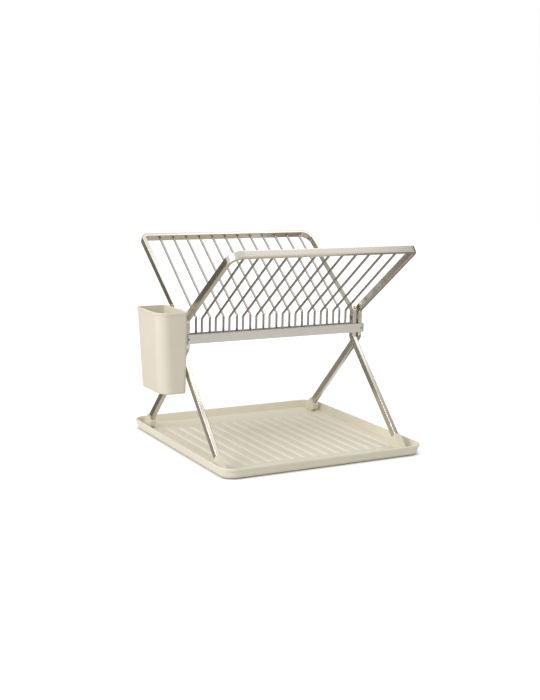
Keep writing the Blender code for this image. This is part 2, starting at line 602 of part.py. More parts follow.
def build_holder(material):
    # Open box with tapered walls, drain slots and a hook over the rear frame's left strip
    top_z = HOLDER_TOP_RISE
    strip_face = -OUTER_STRIP_X - STRIP_THICK / 2
    inner_x = strip_face - HOLDER_OFFSET
    centre_x = inner_x - HOLDER_WIDTH / 2
    origin = Vector((0.0, 0.0, PIVOT_Z))
    corner_radii = (HOLDER_CORNER, HOLDER_CORNER, HOLDER_NEAR_CORNER, HOLDER_CORNER)

    def shell_ring(out, height):
        # The walls lean in by their tapers from the top down to the floor
        share = (top_z - height) / HOLDER_HEIGHT
        half_x = HOLDER_WIDTH / 2 - (HOLDER_BACK_TAPER + HOLDER_FRONT_TAPER) / 2 * share + out
        middle_x = centre_x + (HOLDER_FRONT_TAPER - HOLDER_BACK_TAPER) / 2 * share
        half_y = HOLDER_LENGTH / 2 - HOLDER_END_TAPER * share + out
        radii = [radius + out for radius in corner_radii]
        return ring_at(half_x, half_y, radii, height, middle_x, -HOLDER_SHIFT)

    base_z = top_z - HOLDER_HEIGHT
    lip_z = top_z - HOLDER_LIP_HEIGHT
    edge = HOLDER_LIP / 2
    round_step = HOLDER_FOOT_ROUND * (1 - math.sqrt(0.5))
    profile = [
        (-HOLDER_FOOT_ROUND, base_z), (-round_step, base_z + round_step), (0.0, base_z + HOLDER_FOOT_ROUND),
        (0.0, lip_z), (HOLDER_LIP, lip_z + edge), (HOLDER_LIP, top_z - edge), (edge, top_z),
        (edge - HOLDER_WALL, top_z), (-HOLDER_WALL, top_z - edge), (-HOLDER_WALL, base_z + HOLDER_FLOOR + round_step),
        (-HOLDER_WALL - round_step, base_z + HOLDER_FLOOR),
    ]
    shell = loft(bmesh.new(), [shell_ring(out, height) for out, height in profile])
    holder = make_object("cutlery_holder", finish_mesh("cutlery_holder", shell), None, material)
    holder.location = origin
    low = STRIP_WIDTH / 2 + SEAT_GAP
    cheek_start = -OUTER_STRIP_X + STRIP_THICK / 2 + SEAT_GAP
    wall_x = inner_x - HOLDER_WALL / 2 - HOLDER_BACK_TAPER * (top_z - hook_start_rise()) / HOLDER_HEIGHT
    strap = hook_band(low, low + HOOK_THICK)
    cheek = hook_band(low - HOOK_CHEEK_DEPTH, low + HOOK_THICK / 2)
    strap_mesh = prism(bmesh.new(), [point + Vector((wall_x, 0, 0)) for point in strap],
                       Vector((cheek_start + HOOK_CHEEK - wall_x, 0, 0)))
    strap_guide = make_object("hook_strap_guide", finish_mesh("hook_strap", strap_mesh))
    strap_guide.location = origin
    apply_cut(holder, strap_guide, "UNION")
    cheek_mesh = prism(bmesh.new(), [point + Vector((cheek_start, 0, 0)) for point in cheek], Vector((HOOK_CHEEK, 0, 0)))
    cheek_guide = make_object("hook_cheek_guide", finish_mesh("hook_cheek", cheek_mesh))
    cheek_guide.location = origin
    apply_cut(holder, cheek_guide, "UNION")
    drains = bmesh.new()
    drain_x = centre_x + (HOLDER_FRONT_TAPER - HOLDER_BACK_TAPER) / 2
    for index in range(DRAIN_COUNT):
        middle = (index - (DRAIN_COUNT - 1) / 2) * DRAIN_PITCH - HOLDER_SHIFT
        outline = rounded_rectangle(DRAIN_LENGTH / 2, DRAIN_WIDTH / 2, [DRAIN_CORNER] * 4, EDGE_STEPS)
        points = [Vector((drain_x + x, middle + y, base_z - CUT_OVERRUN)) for x, y in outline]
        prism(drains, points, Vector((0, 0, HOLDER_FLOOR + 2 * CUT_OVERRUN)))
    drain_cut = make_object("holder_drain_cut", finish_mesh("holder_drains", drains))
    drain_cut.location = origin
    apply_cut(holder, drain_cut)


def main():
    clear_scene()
    cream = make_material("cream_plastic", CREAM, 0.42, 0.0)
    foot_cream = make_material("foot_plastic", CREAM_DARK, 0.5, 0.0)
    champagne = make_material("champagne_metal", CHAMPAGNE, 0.35, 0.9)
    steel = make_material("wire_steel", STEEL, 0.28, 1.0)
    grey = make_material("grey_fittings", GREY, 0.45, 0.3)
    shared = {
        "champagne": champagne, "steel": steel, "cream": foot_cream, "grey": grey,
        "strip": build_strip_mesh(), "strip_holes": build_strip_holes_mesh(),
        "bar": build_bar_mesh(), "tongues": build_tongue_mesh(), "bar_holes": build_bar_holes_mesh(),
        "rivet": build_rivet_mesh(), "wire": build_wire_mesh(),
        "foot": build_foot_mesh(), "socket": build_socket_mesh(),
    }
    for side, (strip_x, sign) in zip(("outer", "inner"), bar_ends()):
        shared[f"cap_{side}"] = build_cap_mesh(strip_x, sign)
        shared[f"cap_cut_{side}"] = build_cap_cut_mesh(strip_x, sign)
    build_tray(cream)
    build_pivots(steel)
    build_frame("front", 0.0, shared)
    build_frame("rear", math.pi, shared)
    build_holder(cream)
    bpy.context.view_layer.update()


main()
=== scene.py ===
# Folding dish drainer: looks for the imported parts, with the camera and light of a plain product picture.
import math

import bmesh
import bpy
from mathutils import Matrix, Vector


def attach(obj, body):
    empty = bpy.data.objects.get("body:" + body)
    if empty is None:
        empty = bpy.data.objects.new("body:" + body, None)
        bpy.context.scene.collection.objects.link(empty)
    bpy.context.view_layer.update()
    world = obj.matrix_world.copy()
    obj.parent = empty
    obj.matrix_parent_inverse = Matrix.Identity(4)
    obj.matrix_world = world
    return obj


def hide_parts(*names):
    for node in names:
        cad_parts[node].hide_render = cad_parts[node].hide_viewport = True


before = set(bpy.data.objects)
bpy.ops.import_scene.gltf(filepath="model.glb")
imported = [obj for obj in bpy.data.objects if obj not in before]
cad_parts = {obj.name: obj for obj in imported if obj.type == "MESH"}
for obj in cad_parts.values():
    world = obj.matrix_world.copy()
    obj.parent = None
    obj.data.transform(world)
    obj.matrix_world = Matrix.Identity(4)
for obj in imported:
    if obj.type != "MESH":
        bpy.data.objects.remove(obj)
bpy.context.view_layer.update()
print("frame loaded:", len(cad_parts), "nodes")

pivot = Vector((0.0, 0.0, 0.2065))   # the axis that both frames turn on runs through here, along X
halfTurn = Matrix.Translation(pivot) @ Matrix.Rotation(math.pi, 4, "Z") @ Matrix.Translation(-pivot)
racks = {"front": Matrix.Identity(4), "rear": halfTurn}   # both are made alike, the rear one half turned
nearlyZero = 0.0001   # less than this between two measures counts as none
outwards, inwards, upwards, downwards = (1, 0), (-1, 0), (0, 1), (0, -1)   # directions in a profile


def roundedOutline(halfU, halfV, radii, steps):
    # a rectangle with round corners, as pairs of distances; radii: from the +u +v corner round to +u -v
    points = []
    for quarter, (signU, signV) in enumerate(((1, 1), (-1, 1), (-1, -1), (1, -1))):
        radius = radii[quarter]
        for step in range(steps + 1):
            angle = math.pi / 2 * (quarter + step / steps)
            points.append((signU * (halfU - radius) + radius * math.cos(angle),
                           signV * (halfV - radius) + radius * math.sin(angle)))
    return points


def quarterRound(centre, radius, start, end, steps):
    # a quarter of a circle in a profile, from one direction off its centre to another
    points = []
    for step in range(steps + 1):
        angle = math.pi / 2 * step / steps
        points.append([middle + radius * (a * math.cos(angle) + b * math.sin(angle))
                       for middle, a, b in zip(centre, start, end)])
    return points


def roundedPath(corners, radii, steps):
    # points and directions along a chain of straight runs with round bends
    path = [(corners[0], (corners[1] - corners[0]).normalized())]
    for i in range(1, len(corners) - 1):
        incoming = (corners[i] - corners[i - 1]).normalized()
        outgoing = (corners[i + 1] - corners[i]).normalized()
        turn = incoming.angle(outgoing)
        inward = incoming.cross(outgoing).normalized().cross(incoming)
        start = corners[i] - incoming * (radii[i - 1] * math.tan(turn / 2))
        for step in range(steps + 1):
            angle = turn * step / steps
            shift = incoming * math.sin(angle) + inward * (1 - math.cos(angle))
            direction = incoming * math.cos(angle) + inward * math.sin(angle)
            path.append((start + shift * radii[i - 1], direction))
    path.append((corners[-1], (corners[-1] - corners[-2]).normalized()))
    return path


def addLoft(bm, rings):
    # a solid through closed rings of points, flat at both ends
    loops = [[bm.verts.new(point) for point in ring] for ring in rings]
    count = len(loops[0])
    for lower, upper in zip(loops, loops[1:]):
        for i in range(count):
            j = (i + 1) % count
            bm.faces.new((lower[i], lower[j], upper[j], upper[i]))
    bm.faces.new(list(reversed(loops[0])))
    bm.faces.new(loops[-1])
    return loops


def addPrism(bm, outline, bottom, height):
    addLoft(bm, [[Vector((x, y, z)) for x, y in outline] for z in (bottom, bottom + height)])


def addSlab(bm, outline, fromX, toX):
    addLoft(bm, [[point + Vector((x, 0, 0)) for point in outline] for x in (fromX, toX)])


def circleRing(centre, axis, radius, sides):
    u = axis.orthogonal().normalized()
    v = axis.cross(u)
    angles = [2 * math.pi * i / sides for i in range(sides)]
    return [centre + u * (radius * math.cos(angle)) + v * (radius * math.sin(angle)) for angle in angles]


def addTurned(bm, start, axis, profile, sides):
    # profile: distance along the axis and radius, from one end to the other
    addLoft(bm, [circleRing(start + axis * along, axis, radius, sides) for along, radius in profile])


def roundHead(radius, height, steps, crownShare=0.35):
    # profile of a low domed head, from its rim's foot to its crown, whose middle is flat
    profile = [(0.0, radius)]
    for step in range(1, steps + 1):
        angle = math.pi / 2 * step / steps
        share = crownShare + (1 - crownShare) * math.cos(angle)
        profile.append((height * math.sin(angle), radius * share))
    return profile


def bevelMesh(bm, width, segments, angle=40):
    # rounds the edges that are sharper than the angle
    edges = [e for e in bm.edges
             if len(e.link_faces) == 2 and e.calc_face_angle(0.0) > math.radians(angle)]
    bmesh.ops.bevel(bm, geom=edges, offset=width, offset_type="OFFSET", segments=segments, profile=0.6,
                    affect="EDGES", clamp_overlap=True)


def meshFrom(name, bm, matrix=None):
    bmesh.ops.recalc_face_normals(bm, faces=bm.faces)
    if matrix is not None:
        bmesh.ops.transform(bm, matrix=matrix, verts=bm.verts)
    mesh = bpy.data.meshes.new(name)
    bm.to_mesh(mesh)
    bm.free()
    return mesh


def addObject(name, data):
    item = bpy.data.objects.new(name, data)
    bpy.context.scene.collection.objects.link(item)
    return item


def plainResult(target):
    # an object's mesh as its modifiers leave it
    bpy.context.view_layer.update()
    evaluated = target.evaluated_get(bpy.context.evaluated_depsgraph_get())
    return bpy.data.meshes.new_from_object(evaluated)


def applyModifier(target, kind, **values):
    # runs one modifier over an object and leaves its result as the object's own plain mesh
    modifier = target.modifiers.new(kind, kind)
    for key, value in values.items():
        setattr(modifier, key, value)
    mesh = plainResult(target)
    target.modifiers.remove(modifier)
    old = target.data
    target.data = mesh
    bpy.data.meshes.remove(old)


def cutMesh(name, bm, holes):
    # the mesh of one shape with another cut out of it
    target = addObject(f"{name}Source", meshFrom(f"{name}Source", bm))
    cutter = addObject(f"{name}Holes", meshFrom(f"{name}Holes", holes))
    applyModifier(target, "BOOLEAN", operation="DIFFERENCE", solver="EXACT", object=cutter)
    mesh = target.data
    for helper in (cutter, target):
        bpy.data.objects.remove(helper, do_unlink=True)
    return mesh


def dressMesh(name, mesh, material, body, nodes, sharpAngle=40):
    mesh.shade_smooth()
    mesh.set_sharp_from_angle(angle=math.radians(sharpAngle))
    mesh.materials.clear()
    mesh.materials.append(material)
    piece = addObject(name, mesh)
    applyModifier(piece, "WEIGHTED_NORMAL", keep_sharp=True, weight=100)   # keeps flat faces flat
    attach(piece, body)
    if nodes:
        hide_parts(*nodes)


def finishPiece(name, bm, material, body, nodes, matrix=None, sharpAngle=40):
    dressMesh(name, meshFrom(name, bm, matrix), material, body, nodes, sharpAngle)


def newMaterial(name):
    material = bpy.data.materials.new(name)
    material.use_nodes = True
    tree = material.node_tree
    return material, tree, tree.nodes["Principled BSDF"]


def addNode(tree, kind, **values):
    # a value whose name begins with in_ is a socket's constant, any other is the node's own setting
    node = tree.nodes.new(kind)
    for key, value in values.items():
        if key.startswith("in_"):
            node.inputs[key[3:].replace("_", " ")].default_value = value
        else:
            setattr(node, key, value)
    return node


def noiseOn(tree, scale, stretch=(1, 1, 1), detail=3.0, roughness=0.55, attribute=None):
    # noise on Object coordinates or a named attribute; a small stretch value draws it out on that axis
    if attribute:
        coords = addNode(tree, "ShaderNodeAttribute", attribute_type="GEOMETRY", attribute_name=attribute)
        place = coords.outputs["Vector"]
    else:
        coords = addNode(tree, "ShaderNodeTexCoord")
        place = coords.outputs["Object"]
    mapping = addNode(tree, "ShaderNodeMapping", in_Scale=stretch)
    noise = addNode(tree, "ShaderNodeTexNoise", in_Scale=scale, in_Detail=detail, in_Roughness=roughness)
    tree.links.new(place, mapping.inputs["Vector"])
    tree.links.new(mapping.outputs["Vector"], noise.inputs["Vector"])
    return noise.outputs["Fac"]


def spread(tree, value, low, high, fromLow=0.3, fromHigh=0.7):
    # stretches a value over a new range; nearly all of a noise lies between 0.3 and 0.7
    ranged = addNode(tree, "ShaderNodeMapRange", in_From_Min=fromLow, in_From_Max=fromHigh,
                     in_To_Min=low, in_To_Max=high)
    tree.links.new(value, ranged.inputs["Value"])
    return ranged.outputs["Result"]


def mixColours(tree, factor, first, second):
    mix = addNode(tree, "ShaderNodeMix", data_type="RGBA")
    tree.links.new(factor, mix.inputs["Factor"])
    for socketName, colour in (("A", first), ("B", second)):
        socket = [s for s in mix.inputs if s.name == socketName and s.type == "RGBA"][0]
        if isinstance(colour, tuple):
            socket.default_value = (*colour, 1.0)
        else:
            tree.links.new(colour, socket)
    return [s for s in mix.outputs if s.type == "RGBA"][0]


def addBump(tree, shader, layers):
    # layers: height value, strength and distance in metres; each bump feeds the next
    previous = None
    for height, strength, distance in layers:
        bump = addNode(tree, "ShaderNodeBump", in_Strength=strength, in_Distance=distance)
        tree.links.new(height, bump.inputs["Height"])
        if previous is not None:
            tree.links.new(previous, bump.inputs["Normal"])
        previous = bump.outputs["Normal"]
    tree.links.new(previous, shader.inputs["Normal"])


plasticSkin = {   # satin polypropylene: fine spark-eroded grain over the mould's faint waves
    "flowScale": 9.0, "flowStretch": (1, 1, 2.5), "flowDetail": 2.0,
    "grainScale": 1900.0, "grainDetail": 2.0, "grainRoughness": 0.6,
    "grainBump": 0.12, "grainDepth": 0.0002,
    "waveScale": 38.0, "waveDetail": 2.0, "waveBump": 0.05, "waveDepth": 0.0006,
    "smoother": 0.04, "rougher": 0.05, "ior": 1.49,
    "scatterWeight": 0.06, "scatterRadius": (1.0, 0.75, 0.5), "scatterScale": 0.0025,
}
plastics = {   # each colour drifts to its shade; the tray's low tone is painted shade: a darker tone for low places, and the heights where it ends
    "trayPlastic": {"colour": (0.785, 0.731, 0.593), "shade": (0.800, 0.749, 0.615), "roughness": 0.42,
                    "lowPaintedShade": ((0.760, 0.706, 0.572), 0.0030, 0.0046)},
    "holderPlastic": {"colour": (0.725, 0.665, 0.540), "shade": (0.740, 0.683, 0.560), "roughness": 0.42},
    "footPlastic": {"colour": (0.725, 0.672, 0.545), "shade": (0.740, 0.690, 0.566), "roughness": 0.44},
    "capPlastic": {"colour": (0.520, 0.520, 0.510), "shade": (0.550, 0.548, 0.535), "roughness": 0.45},
}
metalSkin = {"cloudScale": 14.0, "grainDetail": 3.0, "grainRoughness": 0.6, "grainBump": 0.018,
             "smoother": 0.02, "rougher": 0.025}
metals = {   # the grain is long where its stretch is small
    "champagneMetal": {"colour": (0.630, 0.588, 0.522), "shade": (0.604, 0.562, 0.494), "roughness": 0.20,
                       "metallic": 0.95, "grainScale": 500.0, "grainStretch": (0.03, 1.0, 1.0),
                       "grainDepth": 0.00004, "attribute": "straight"},
    "barMetal": {"colour": (0.690, 0.660, 0.605), "shade": (0.665, 0.635, 0.580), "roughness": 0.32,
                 "metallic": 0.95, "grainScale": 900.0, "grainStretch": (0.03, 1.0, 1.0),
                 "grainDepth": 0.00006},
    "wireSteel": {"colour": (0.385, 0.371, 0.341), "shade": (0.355, 0.342, 0.314), "roughness": 0.26,
                  "metallic": 1.0, "grainScale": 1400.0, "grainStretch": (1.0, 0.1, 0.1),
                  "grainDepth": 0.00003},
    # its dark tone is partly the pins' own darker steel and partly painted shade: darkened so the washer in
    # the gap between the strips reads as shade; the same finish colours the pins and the bar's rivets
    "pivotMetal": {"colour": (0.360, 0.345, 0.320), "shade": (0.320, 0.308, 0.285), "roughness": 0.30,
                   "metallic": 1.0, "grainScale": 1200.0, "grainStretch": (0.4, 1.0, 1.0),
                   "grainDepth": 0.00004},
}


def mouldedPlastic(name, colour, shade, roughness, lowPaintedShade=None):
    skin = plasticSkin
    material, tree, shader = newMaterial(name)
    flow = spread(tree, noiseOn(tree, skin["flowScale"], skin["flowStretch"], skin["flowDetail"]), 0.0, 1.0)
    tone = mixColours(tree, flow, colour, shade)
    # painted shade: below the given heights the tone darkens, on the floor between the ribs and at the foot
    # of the walls, where shade falls
    if lowPaintedShade:
        paintedShadeColour, low, high = lowPaintedShade
        axes = addNode(tree, "ShaderNodeSeparateXYZ")
        coords = addNode(tree, "ShaderNodeTexCoord")
        tree.links.new(coords.outputs["Object"], axes.inputs["Vector"])
        tone = mixColours(tree, spread(tree, axes.outputs["Z"], 0.0, 1.0, low, high), paintedShadeColour, tone)
    tree.links.new(tone, shader.inputs["Base Color"])
    grain = noiseOn(tree, skin["grainScale"], detail=skin["grainDetail"], roughness=skin["grainRoughness"])
    wave = noiseOn(tree, skin["waveScale"], detail=skin["waveDetail"])
    tree.links.new(spread(tree, grain, roughness - skin["smoother"], roughness + skin["rougher"]),
                   shader.inputs["Roughness"])
    addBump(tree, shader, [(grain, skin["grainBump"], skin["grainDepth"]),
                           (wave, skin["waveBump"], skin["waveDepth"])])
    shader.inputs["IOR"].default_value = skin["ior"]
    shader.inputs["Subsurface Weight"].default_value = skin["scatterWeight"]
    shader.inputs["Subsurface Radius"].default_value = skin["scatterRadius"]
    shader.inputs["Subsurface Scale"].default_value = skin["scatterScale"]
    return material


def satinMetal(name, colour, shade, roughness, metallic, grainScale, grainStretch, grainDepth,
               attribute=None):
    # even satin finish with a faint grain along the strip
    skin = metalSkin
    material, tree, shader = newMaterial(name)
    cloud = spread(tree, noiseOn(tree, skin["cloudScale"]), 0.0, 1.0)
    tree.links.new(mixColours(tree, cloud, colour, shade), shader.inputs["Base Color"])
    grain = noiseOn(tree, grainScale, grainStretch, skin["grainDetail"], skin["grainRoughness"], attribute)
    tree.links.new(spread(tree, grain, roughness - skin["smoother"], roughness + skin["rougher"]),
                   shader.inputs["Roughness"])
    addBump(tree, shader, [(grain, skin["grainBump"], grainDepth)])
    shader.inputs["Metallic"].default_value = metallic
    return material


print("materials")
trayPlastic, holderPlastic, footPlastic, capPlastic = [
    mouldedPlastic(name, **look) for name, look in plastics.items()]
champagneMetal, barMetal, wireSteel, pivotMetal = [
    satinMetal(name, **look) for name, look in metals.items()]


strip = {   # rises are heights above the pivot, angles are off the vertical
    "width": 0.0125, "thick": 0.0075, "edge": 0.0014, "edgeSteps": 5, "bendSteps": 18,
    "innerX": -0.16215, "outerX": 0.17385,
    "kinkRise": 0.0145, "legKinkRise": -0.0345, "kinkRadius": 0.012,
    "innerCorner": 0.021, "outerCorner": 0.008,
    "wingLength": 0.2052, "wingAngle": math.radians(53.2), "legAngle": math.radians(44.2),
    "legEndRise": -0.1944,
}


def stripCorners(x):
    # leg end, lower kink, upper kink and top corner of one side, in world space
    legRun = (strip["legKinkRise"] - strip["legEndRise"]) * math.tan(strip["legAngle"])
    reach = strip["wingLength"] - strip["thick"] / 2
    topRise = strip["kinkRise"] + reach * math.cos(strip["wingAngle"])
    spots = [(legRun, strip["legEndRise"]), (0.0, strip["legKinkRise"]), (0.0, strip["kinkRise"]),
             (-reach * math.sin(strip["wingAngle"]), topRise)]
    return [pivot + Vector((x, y, rise)) for y, rise in spots]


def makeStripFrame(side, matrix):
    corners = stripCorners(strip["innerX"]) + list(reversed(stripCorners(strip["outerX"])))
    radii = [strip["kinkRadius"], strip["kinkRadius"], strip["innerCorner"],
             strip["outerCorner"], strip["kinkRadius"], strip["kinkRadius"]]
    wingNormal = Vector((0.0, math.cos(strip["wingAngle"]), math.sin(strip["wingAngle"])))
    outline = roundedOutline(strip["width"] / 2, strip["thick"] / 2, [strip["edge"]] * 4,
                             strip["edgeSteps"])
    rings = []
    straight = []   # each point as it lies in the strip before bending, for the grain
    along = 0.0
    previous = corners[0]
    for point, tangent in roundedPath(corners, radii, strip["bendSteps"]):
        along += (point - previous).length
        previous = point
        straight += [(along, u, v) for u, v in outline]
        if abs(tangent.x) > nearlyZero:   # top bar and its corners
            wide = wingNormal
        else:
            rising = tangent if tangent.z > 0 else -tangent
            wide = Vector((0.0, rising.z, -rising.y)).normalized()
        thin = tangent.cross(wide).normalized()
        rings.append([point + wide * u + thin * v for u, v in outline])
    bm = bmesh.new()
    layer = bm.verts.layers.float_vector.new("straight")
    loops = addLoft(bm, rings)
    for vert, place in zip([vert for loop in loops for vert in loop], straight):
        vert[layer] = place
    finishPiece(f"{side}StripFrame", bm, champagneMetal, f"{side}_rack",
                [f"{side}_frame"], matrix, sharpAngle=30)


print("strip frames")
for side, matrix in racks.items():
    makeStripFrame(side, matrix)


def newRowTree(name, inputs):
    # a node tree that takes a source shape and named inputs
    tree = bpy.data.node_groups.new(name, "GeometryNodeTree")
    kinds = {"Geometry": "Geometry", "Count": "Int", "Sides": "Int", "Finish": "Material"}
    for inputName in ("Geometry", *inputs):
        kind = "NodeSocket" + kinds.get(inputName, "Float")
        tree.interface.new_socket(inputName, in_out="INPUT", socket_type=kind)
    tree.interface.new_socket("Geometry", in_out="OUTPUT", socket_type="NodeSocketGeometry")
    return tree, tree.nodes.new("NodeGroupInput")


def repeatAlongX(tree, given, shape):
    # the end of a row's tree: copies along X, made real, with their material
    start = tree.nodes.new("ShaderNodeCombineXYZ")
    step = tree.nodes.new("ShaderNodeCombineXYZ")
    row = tree.nodes.new("GeometryNodeMeshLine")
    row.mode = "OFFSET"
    repeat = tree.nodes.new("GeometryNodeInstanceOnPoints")
    real = tree.nodes.new("GeometryNodeRealizeInstances")
    paint = tree.nodes.new("GeometryNodeSetMaterial")
    made = tree.nodes.new("NodeGroupOutput")
    for source, target in ((given.outputs["First X"], start.inputs["X"]),
                           (given.outputs["Pitch"], step.inputs["X"]),
                           (given.outputs["Count"], row.inputs["Count"]),
                           (start.outputs["Vector"], row.inputs["Start Location"]),
                           (step.outputs["Vector"], row.inputs["Offset"]),
                           (row.outputs["Mesh"], repeat.inputs["Points"]),
                           (shape, repeat.inputs["Instance"]),
                           (repeat.outputs["Instances"], real.inputs["Geometry"]),
                           (real.outputs["Geometry"], paint.inputs["Geometry"]),
                           (given.outputs["Finish"], paint.inputs["Material"]),
                           (paint.outputs["Geometry"], made.inputs["Geometry"])):
        tree.links.new(source, target)
    return tree


def wireTree(inputs):
    # a round wire along the source's line, repeated
    tree, given = newRowTree("plateWires", inputs)
    route = tree.nodes.new("GeometryNodeMeshToCurve")
    profile = tree.nodes.new("GeometryNodeCurvePrimitiveCircle")
    tube = tree.nodes.new("GeometryNodeCurveToMesh")
    tube.inputs["Fill Caps"].default_value = True
    for source, target in ((given.outputs["Geometry"], route.inputs["Mesh"]),
                           (given.outputs["Sides"], profile.inputs["Resolution"]),
                           (given.outputs["Radius"], profile.inputs["Radius"]),
                           (route.outputs["Curve"], tube.inputs["Curve"]),
                           (profile.outputs["Curve"], tube.inputs["Profile Curve"])):
        tree.links.new(source, target)
    return repeatAlongX(tree, given, tube.outputs["Mesh"])


def ribTree(inputs):
    tree, given = newRowTree("trayRibs", inputs)
    return repeatAlongX(tree, given, given.outputs["Geometry"])


def rowInputs(count, pitch, middleX, finish, **others):
    # a row's inputs by name, with the row's middle at middleX
    return {"Count": count, "Pitch": pitch, "First X": middleX - (count - 1) * pitch / 2, **others,
            "Finish": finish}


def bakeNodes(name, mesh, tree, values):
    # runs a node tree over a small source mesh and returns the plain result
    source = addObject(name, mesh)
    modifier = source.modifiers.new(name, "NODES")
    modifier.node_group = tree
    for item in tree.interface.items_tree:   # a modifier's inputs go by the socket's identifier
        if item.item_type == "SOCKET" and item.in_out == "INPUT" and item.name in values:
            modifier[item.identifier] = values[item.name]
    result = plainResult(source)
    bpy.data.objects.remove(source, do_unlink=True)
    return result


wires = {   # of one wing; the shift lets them pass the other wing's wires
    "count": 12, "pitch": 0.0254, "shift": 0.0021, "radius": 0.0019, "kinkRadius": 0.006,
    "sides": 20, "bendSteps": 12,
    "y": -0.00695, "foot": -0.0156, "kinkRise": 0.0145, "reach": 0.1977, "gap": 0.0003,
}


def wireRoute():
    # up out of the bar, a bend, then along the wing to the top bar
    bottom = pivot + Vector((0.0, wires["y"], wires["foot"]))
    kink = pivot + Vector((0.0, wires["y"], wires["kinkRise"]))
    seat = pivot + Vector((0.0, -wires["reach"] * math.sin(strip["wingAngle"]),
                           wires["kinkRise"] + wires["reach"] * math.cos(strip["wingAngle"])))
    top = seat - (seat - kink).normalized() * wires["gap"]
    path = roundedPath([bottom, kink, top], [wires["kinkRadius"]], wires["bendSteps"])
    mesh = bpy.data.meshes.new("wireRoute")
    mesh.from_pydata([point for point, direction in path], [(i, i + 1) for i in range(len(path) - 1)], [])
    return mesh


print("plate wires")
wireInputs = rowInputs(wires["count"], wires["pitch"], wires["shift"], wireSteel,
                       Radius=wires["radius"], Sides=wires["sides"])
plateWireTree = wireTree(wireInputs)
for side, matrix in racks.items():
    wireMesh = bakeNodes(f"{side}WireSource", wireRoute(), plateWireTree, wireInputs)
    wireMesh.transform(matrix)
    dressMesh(f"{side}PlateWires", wireMesh, wireSteel, f"{side}_rack",
              [f"{side}_wire_{i + 1:02d}" for i in range(wires["count"])], sharpAngle=50)


bar = {   # lap: its thickness where it lies on the strips; reaches are from a strip's middle
    "height": 0.0152, "depth": 0.0068, "lap": 0.0038, "drop": 0.0186, "backY": -0.00655,
    "edge": 0.0009, "edgeSteps": 3, "gap": 0.0003, "holeDepth": 0.012,
    "capReach": 0.0022, "endReach": 0.00555, "capEdge": 0.0012, "capSteps": 4, "capGap": 0.0008,
    "rivetHead": 0.002, "rivetHeight": 0.0007, "rivetSink": 0.0002, "rivetSides": 32, "rivetSteps": 6,
}


def makeBar(side, matrix):
    frontY = bar["backY"] - bar["lap"]
    deepY = frontY + bar["depth"]
    notch = -strip["innerX"] - strip["thick"] / 2 - bar["gap"]
    leftX = strip["innerX"] - bar["capReach"] + bar["capGap"]
    rightX = strip["outerX"] + bar["capReach"] - bar["capGap"]
    bottom = pivot.z - bar["drop"] - bar["height"] / 2
    outline = [(leftX, frontY), (rightX, frontY), (rightX, bar["backY"]), (notch, bar["backY"]),
               (notch, deepY), (-notch, deepY), (-notch, bar["backY"]), (leftX, bar["backY"])]
    bm = bmesh.new()
    addPrism(bm, outline, bottom, bar["height"])
    bevelMesh(bm, bar["edge"], bar["edgeSteps"])
    holes = bmesh.new()
    holeRadius = wires["radius"] + bar["gap"]
    for i in range(wires["count"]):
        x = wires["shift"] + (i - (wires["count"] - 1) / 2) * wires["pitch"]
        start = pivot + Vector((x, wires["y"], wires["foot"] - bar["gap"]))
        addTurned(holes, start, Vector((0, 0, 1)), [(0.0, holeRadius), (bar["holeDepth"], holeRadius)],
                  wires["sides"])
    mesh = cutMesh(f"{side}Bar", bm, holes)
    mesh.transform(matrix)
    dressMesh(f"{side}LowerBar", mesh, barMetal, f"{side}_rack", [f"{side}_lower_bar"],
              sharpAngle=30)
    for endName, stripX, sign in (("outer", strip["outerX"], 1), ("inner", strip["innerX"], -1)):
        makeBarCap(side, endName, stripX, sign, frontY, bottom, matrix)
        makeBarRivet(side, endName, stripX, frontY, matrix)


def makeBarCap(side, endName, stripX, sign, frontY, bottom, matrix):
    nearX = stripX + sign * bar["capReach"]
    farX = stripX + sign * bar["endReach"]
    outline = [(nearX, frontY), (farX, frontY), (farX, bar["backY"]), (nearX, bar["backY"])]
    bm = bmesh.new()
    addPrism(bm, outline, bottom, bar["height"])
    roundEdges = []
    for edge in bm.edges:
        first, second = [vert.co for vert in edge.verts]
        atEnd = max(abs(first.x - farX), abs(second.x - farX)) < nearlyZero
        atFront = max(abs(first.y - frontY), abs(second.y - frontY)) < nearlyZero
        if atEnd or (atFront and abs(first.x - second.x) > nearlyZero):
            roundEdges.append(edge)
    bmesh.ops.bevel(bm, geom=roundEdges, offset=bar["capEdge"], offset_type="OFFSET",
                    segments=bar["capSteps"], profile=0.5, affect="EDGES", clamp_overlap=True)
    finishPiece(f"{side}BarCap{endName.title()}", bm, capPlastic, f"{side}_rack",
                [f"{side}_bar_cap_{endName}"], matrix)


def makeBarRivet(side, endName, stripX, frontY, matrix):
    start = Vector((stripX, frontY, pivot.z - bar["drop"])) + Vector((0, bar["rivetSink"], 0))
    head = roundHead(bar["rivetHead"], bar["rivetHeight"], bar["rivetSteps"])
    profile = [(0.0, bar["rivetHead"])] + [(bar["rivetSink"] + along, radius) for along, radius in head]
    bm = bmesh.new()
    addTurned(bm, start, Vector((0, -1, 0)), profile, bar["rivetSides"])
    finishPiece(f"{side}BarRivet{endName.title()}", bm, pivotMetal, f"{side}_rack",
                [f"{side}_bar_rivet_{endName}"], matrix, sharpAngle=60)


print("lower bars")
for side, matrix in racks.items():
    makeBar(side, matrix)


foot = {   # a sleeve over the leg's end, with a sole
    "thick": 0.0108, "wall": 0.0015, "heelWall": 0.004, "sleeve": 0.0157, "heel": 0.016, "toeRise": 0.006,
    "cornerRound": 0.0015, "backRound": 0.002, "heelRound": 0.010, "toeRound": 0.004, "roundSteps": 8,
    "edge": 0.0015, "edgeSteps": 5, "base": -0.2032,
}


